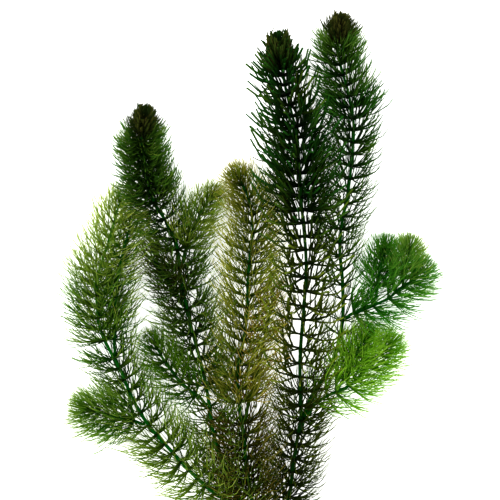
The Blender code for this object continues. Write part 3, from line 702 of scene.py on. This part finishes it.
def map_leaf(shape, curve, ahead, roll, scale, width):
    """The modelled leaf laid along each centre line."""
    heading = unit(np.gradient(curve, axis=1))
    across = ahead[:, None] - heading * np.sum(heading * ahead[:, None], axis=2, keepdims=True)
    across = unit(across + NEVER_ZERO)
    normal = np.cross(heading, across)
    turn = roll[:, None, None]
    across, normal = (across * np.cos(turn) + normal * np.sin(turn),
                      normal * np.cos(turn) - across * np.sin(turn))
    share = np.clip(shape.centers[:, 1] / LEAF_LENGTH, 0, 1) * CURVE_STEPS
    k = np.minimum(share.astype(int), CURVE_STEPS - 1)
    t = (share - k)[None, :, None]

    def between(values):
        return values[:, k] * (1 - t) + values[:, k + 1] * t

    X, Y, Z = between(across), between(heading), between(normal)
    placed = between(curve) + shape.centers[None, :, 0:1] * scale[:, None, None] * X
    thickness = width[:, None, None]
    placed = placed + thickness * (shape.offsets[None, :, 0:1] * X
                                   + shape.offsets[None, :, 1:2] * Y
                                   + shape.offsets[None, :, 2:3] * Z)
    low = placed[..., 2] < FLOOR_CLEARANCE
    eased = FLOOR_CLEARANCE * np.exp(placed[..., 2] / FLOOR_CLEARANCE - 1)
    placed[..., 2] = np.where(low, eased, placed[..., 2])
    return placed


def add_leaves(made, shoot, shapes, start, end, is_tip, random):
    """Every leaf of the whorls between two distances from the shoot's foot."""
    route = shoot["curve"]
    rows = {kind: [] for kind in shapes}
    for w in shoot["whorls"]:
        if not start < w < end:
            continue
        from_tip = route.length - w
        length = table_value(shoot["length"], from_tip) * shoot["leaf_scale"]
        lean = table_value(shoot["lean"], from_tip)
        width = table_value(shoot["width"], from_tip)
        counts = [row[1] for row in shoot["leaves"] if row[0] <= from_tip][-1]
        for kind, count in counts.items():
            bend = (lean * BEND_OUT[kind], lean * BEND_BACK[kind])
            rows[kind] += whorl_rows(shoot, w, count, length, lean, bend, HELD_UP[kind], width,
                                     random)
    if is_tip and shoot["bud"]:
        for share in np.linspace(0, 1, BUD_ROWS):
            w = route.length - BUD_HEIGHT * shoot["bud"] * (1 - share)
            leaf, lean, back, width = [low + (high - low) * share for low, high in
                                       (BUD_LEAF, BUD_LEAN, BUD_BEND_BACK, BUD_WIDTH)]
            rows["bud"] += whorl_rows(shoot, w, BUD_LEAVES, leaf * shoot["bud"], lean,
                                      (BUD_BEND_OUT, back), HELD_UP["bud"], width, random,
                                      BUD_TONE)
    for kind in rows:
        if rows[kind]:
            add_rows(made, shapes[kind], np.array(rows[kind]))


def whorl_rows(shoot, w, count, length, lean, bend, held_up, width, random, tone_shift=0.0):
    """One row of numbers for each leaf of a whorl."""
    route = shoot["curve"]
    ahead, side, top = route.frame(min(w, route.length))
    turn = random.uniform(0, 2 * math.pi)
    whorl_tone = table_value(shoot["tones"], route.length - w) + tone_shift
    whorl_tone += random.normal(0, WHORL_TONE_SPREAD)
    rows = []
    for i in range(count):
        shift = random.uniform(-AZIMUTH_JITTER, AZIMUTH_JITTER)
        azimuth = turn + 2 * math.pi * (i + shift) / count
        outward = math.cos(azimuth) * top + math.sin(azimuth) * side
        foot = route.at(w) + ahead * random.uniform(-FOOT_JITTER, FOOT_JITTER)
        foot = foot + outward * stem_radius(shoot, min(w, route.length)) * FOOT_DEPTH
        tone = np.clip(whorl_tone + random.normal(0, LEAF_TONE_SPREAD), *TONE_RANGE)
        facing = max(0.0, outward[2])**2
        own_lean = lean + (shoot["upper_lean"] - lean) * facing
        rows.append([*foot, *ahead, *outward, length * random.uniform(*LENGTH_RANGE),
                     own_lean + random.normal(0, LEAN_SPREAD),
                     bend[0] * (1 - facing) + random.normal(0, BEND_OUT_SPREAD),
                     bend[1] * (1 - held_up * facing) + random.normal(0, BEND_BACK_SPREAD),
                     random.normal(0, ROLL_SPREAD), width * random.uniform(*WIDTH_RANGE), tone])
    return rows


def add_rows(made, shape, rows):
    """Copy the modelled leaf once for each row of numbers."""
    foot, ahead, outward = rows[:, 0:3], rows[:, 3:6], rows[:, 6:9]
    length, lean, out, back, roll, width, tone = rows[:, 9:].T
    curve = leaf_curves(foot, ahead, outward, length, lean, out, back)
    placed = map_leaf(shape, curve, ahead, roll, length / LEAF_LENGTH, width)
    many, per = placed.shape[:2]
    first = made.add_points(placed.reshape(-1, 3))
    starts = (first + np.arange(many) * per)[:, None, None]
    for corners in (3, 4):
        faces = np.array(shape.faces[corners], int)
        if not len(faces):
            continue
        v = LEAF_V[0] + (LEAF_V[1] - LEAF_V[0]) * shape.along[faces.ravel()]
        u = tone[:, None] * TONE_U + FACE_WIDTH_U * np.array(shape.sides[corners])
        uvs = np.stack([u, np.broadcast_to(v, u.shape)], axis=2)
        made.add_faces((faces[None] + starts).reshape(-1, corners), uvs.reshape(-1, 2))


def linear(code):
    """An sRGB hex color as linear red, green, blue and alpha."""
    parts = [int(code[i:i + 2], 16) / 255 for i in (0, 2, 4)]
    return [c / 12.92 if c <= 0.04045 else ((c + 0.055) / 1.055)**2.4 for c in parts] + [1.0]


def add_node(tree, kind, settings, links):
    """A node with its settings, and its inputs linked or set by name or number."""
    node = tree.nodes.new(kind)
    for name, value in settings.items():
        setattr(node, name, value)
    for name, value in links.items():
        if isinstance(value, bpy.types.NodeSocket):
            tree.links.new(value, node.inputs[name])
        else:
            node.inputs[name].default_value = value
    return node


def set_ramp(node, stops):
    """Give a color ramp its positions and colors, and return its output."""
    ramp = node.color_ramp
    while len(ramp.elements) < len(stops):
        ramp.elements.new(0.5)
    for element, (position, code) in zip(ramp.elements, stops):
        element.position = position
        element.color = linear(code)
    return node.outputs["Color"]


# Where along a UV the stem's color ends and the leaf's foot, middle and end have theirs. The
# dark foot is painted shade and the light end painted light.
COLOR_STOPS = (0.07, 0.12, 0.5, 0.97)

# The mottling of a real leaf is finer than 0.3 mm, too fine to show, so it is drawn as coarse
# as this. It makes each thread a little lighter and darker along its length.
MOTTLE = 0.74
MOTTLE_DETAIL = 3.0
MOTTLE_LIGHT = (0.7, 1.3)

# Typical values for a satin leaf.
ROUGHNESS = (0.34, 0.56)
LEAF_IOR = 1.4

# Matched to the object: against so bright a floor its leaves show almost no reflection.
REFLECTION = 0.01


def leaf_material(name, stem, fresh, old):
    """Living hornwort leaf, satin, older leaf by leaf: darker at the stem with painted shade, lighter
    at its ends with painted light.
    """
    material = bpy.data.materials.new(name)
    material.use_nodes = True
    tree = material.node_tree
    shader = tree.nodes["Principled BSDF"]
    uv = add_node(tree, "ShaderNodeUVMap", {"uv_map": "OFBake"}, {})
    split = add_node(tree, "ShaderNodeSeparateXYZ", {}, {"Vector": uv.outputs["UV"]})
    tone, along = split.outputs["X"], split.outputs["Y"]
    shades = []
    # Along each leaf the color darkens toward the stem as painted shade and lightens toward the end
    # as painted light.
    for leaf in (fresh, old):
        ramp = add_node(tree, "ShaderNodeValToRGB", {}, {"Fac": along})
        shades.append(set_ramp(ramp, list(zip(COLOR_STOPS, (stem, *leaf)))))
    mix = add_node(tree, "ShaderNodeMix", {"data_type": "RGBA"},
                   {0: tone, 6: shades[0], 7: shades[1]})
    mottles = LEAF_LENGTH / (LEAF_V[1] - LEAF_V[0]) / MOTTLE
    grain = add_node(tree, "ShaderNodeTexNoise", {"noise_dimensions": "2D"},
                     {"Vector": uv.outputs["UV"], "Scale": mottles, "Detail": MOTTLE_DETAIL})
    light = add_node(tree, "ShaderNodeMapRange", {},
                     {"Value": grain.outputs["Fac"], "To Min": MOTTLE_LIGHT[0],
                      "To Max": MOTTLE_LIGHT[1]})
    colored = add_node(tree, "ShaderNodeVectorMath", {"operation": "SCALE"},
                       {0: mix.outputs[2], "Scale": light.outputs["Result"]})
    rough = add_node(tree, "ShaderNodeMapRange", {},
                     {"Value": grain.outputs["Fac"], "To Min": ROUGHNESS[0],
                      "To Max": ROUGHNESS[1]})
    tree.links.new(colored.outputs["Vector"], shader.inputs["Base Color"])
    tree.links.new(rough.outputs["Result"], shader.inputs["Roughness"])
    shader.inputs["IOR"].default_value = LEAF_IOR
    shader.inputs["Specular IOR Level"].default_value = REFLECTION
    return material


def grow_plant():
    """One piece with its stem and leaves for each node, in the node's place."""
    random = np.random.default_rng(SEED)
    shapes = {kind: LeafShape(*made_of) for kind, made_of in LEAF_KINDS.items()}
    tip_material = leaf_material("young_brown_leaf", *TIP_COLORS)
    for name, shoot in SHOOTS.items():
        material = leaf_material(name + "_leaf", *COLORS[name])
        starts = [0.0] + [cut + PIECE_GAP for cut in shoot["cuts"]]
        ends = shoot["cuts"] + [shoot["curve"].length]
        nodes = shoot["pieces"] + [name + "_tip"]
        for i, node in enumerate(nodes):
            is_tip = i == len(nodes) - 1
            made = PieceMesh()
            add_stem(made, shoot, starts[i], ends[i], is_tip)
            add_leaves(made, shoot, shapes, starts[i], ends[i], is_tip, random)
            piece = made.build("leafy_" + node)
            brown = is_tip and name in BROWN_TIPS
            piece.data.materials.append(tip_material if brown else material)
            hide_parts(node)
            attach(piece, "root")


# The camera looks straight down at the plant from 1.5 m, and at a height of 18 mm its frame
# is 275 mm wide. It looks at a point 15.675 mm ahead of the plant's middle, so the frame ends
# just above the cut end. It sees 20 m far, past all of the floor.
CAMERA_HEIGHT = 1.5
FRAME_WIDTH = 0.275
FRAME_LEVEL = 0.018
AHEAD_OF_MIDDLE = 15.675
VIEW_CENTER = (CENTERING + [0, AHEAD_OF_MIDDLE, 0]) * MM
SENSOR_WIDTH = 36.0
FAR_END = 20.0


def add_camera():
    """The camera, above the plant and looking straight down."""
    bpy.ops.object.camera_add(location=(*VIEW_CENTER[:2], CAMERA_HEIGHT), rotation=(0, 0, 0))
    camera = bpy.context.object
    camera.data.sensor_width = SENSOR_WIDTH
    camera.data.lens = SENSOR_WIDTH * (CAMERA_HEIGHT - FRAME_LEVEL) / FRAME_WIDTH
    camera.data.clip_end = FAR_END
    bpy.context.scene.camera = camera


# The stage, in metres, with its light.
FLOOR_SIZE = 6.0
FLOOR_COLOR = "f4f4f2"
FLOOR_ROUGHNESS = 0.9
FLOOR_GLOW = 1.0
WHITE = (1, 1, 1, 1)
DOME_STRENGTH = 1.2
SIDE_LIGHT_PLACE = (-0.7, 0.6, 1.6)
SIDE_LIGHT_SIZE = 1.2
SIDE_LIGHT_ENERGY = 20.0

# Matched to the photograph, whose darks are deeper than the plain transform makes them.
GAMMA = 0.85


def add_floor():
    """A matte white floor that is lit from below, so that the gaps between the leaves are white."""
    bpy.ops.mesh.primitive_plane_add(size=FLOOR_SIZE)
    floor = bpy.context.object
    floor.name = "pale_floor"
    material = bpy.data.materials.new("backlit_matte_white_panel")
    material.use_nodes = True
    shader = material.node_tree.nodes["Principled BSDF"]
    shader.inputs["Base Color"].default_value = linear(FLOOR_COLOR)
    shader.inputs["Roughness"].default_value = FLOOR_ROUGHNESS
    shader.inputs["Emission Color"].default_value = WHITE
    shader.inputs["Emission Strength"].default_value = FLOOR_GLOW
    floor.data.materials.append(material)


def add_lights():
    """A bright dome and one broad soft light from the upper left."""
    world = bpy.data.worlds.new("studio")
    bpy.context.scene.world = world
    world.use_nodes = True
    background = world.node_tree.nodes["Background"]
    background.inputs["Color"].default_value = WHITE
    background.inputs["Strength"].default_value = DOME_STRENGTH
    bpy.ops.object.light_add(type="AREA", location=SIDE_LIGHT_PLACE)
    light = bpy.context.object
    light.data.size = SIDE_LIGHT_SIZE
    light.data.energy = SIDE_LIGHT_ENERGY
    direction = -np.array(light.location)
    light.rotation_euler = (math.atan2(math.hypot(direction[0], direction[1]), -direction[2]), 0,
                            math.atan2(-direction[0], direction[1]))
    bpy.context.scene.view_settings.view_transform = "Standard"
    bpy.context.scene.view_settings.gamma = GAMMA


lay_out_shoots()
grow_plant()
add_floor()
add_lights()
add_camera()
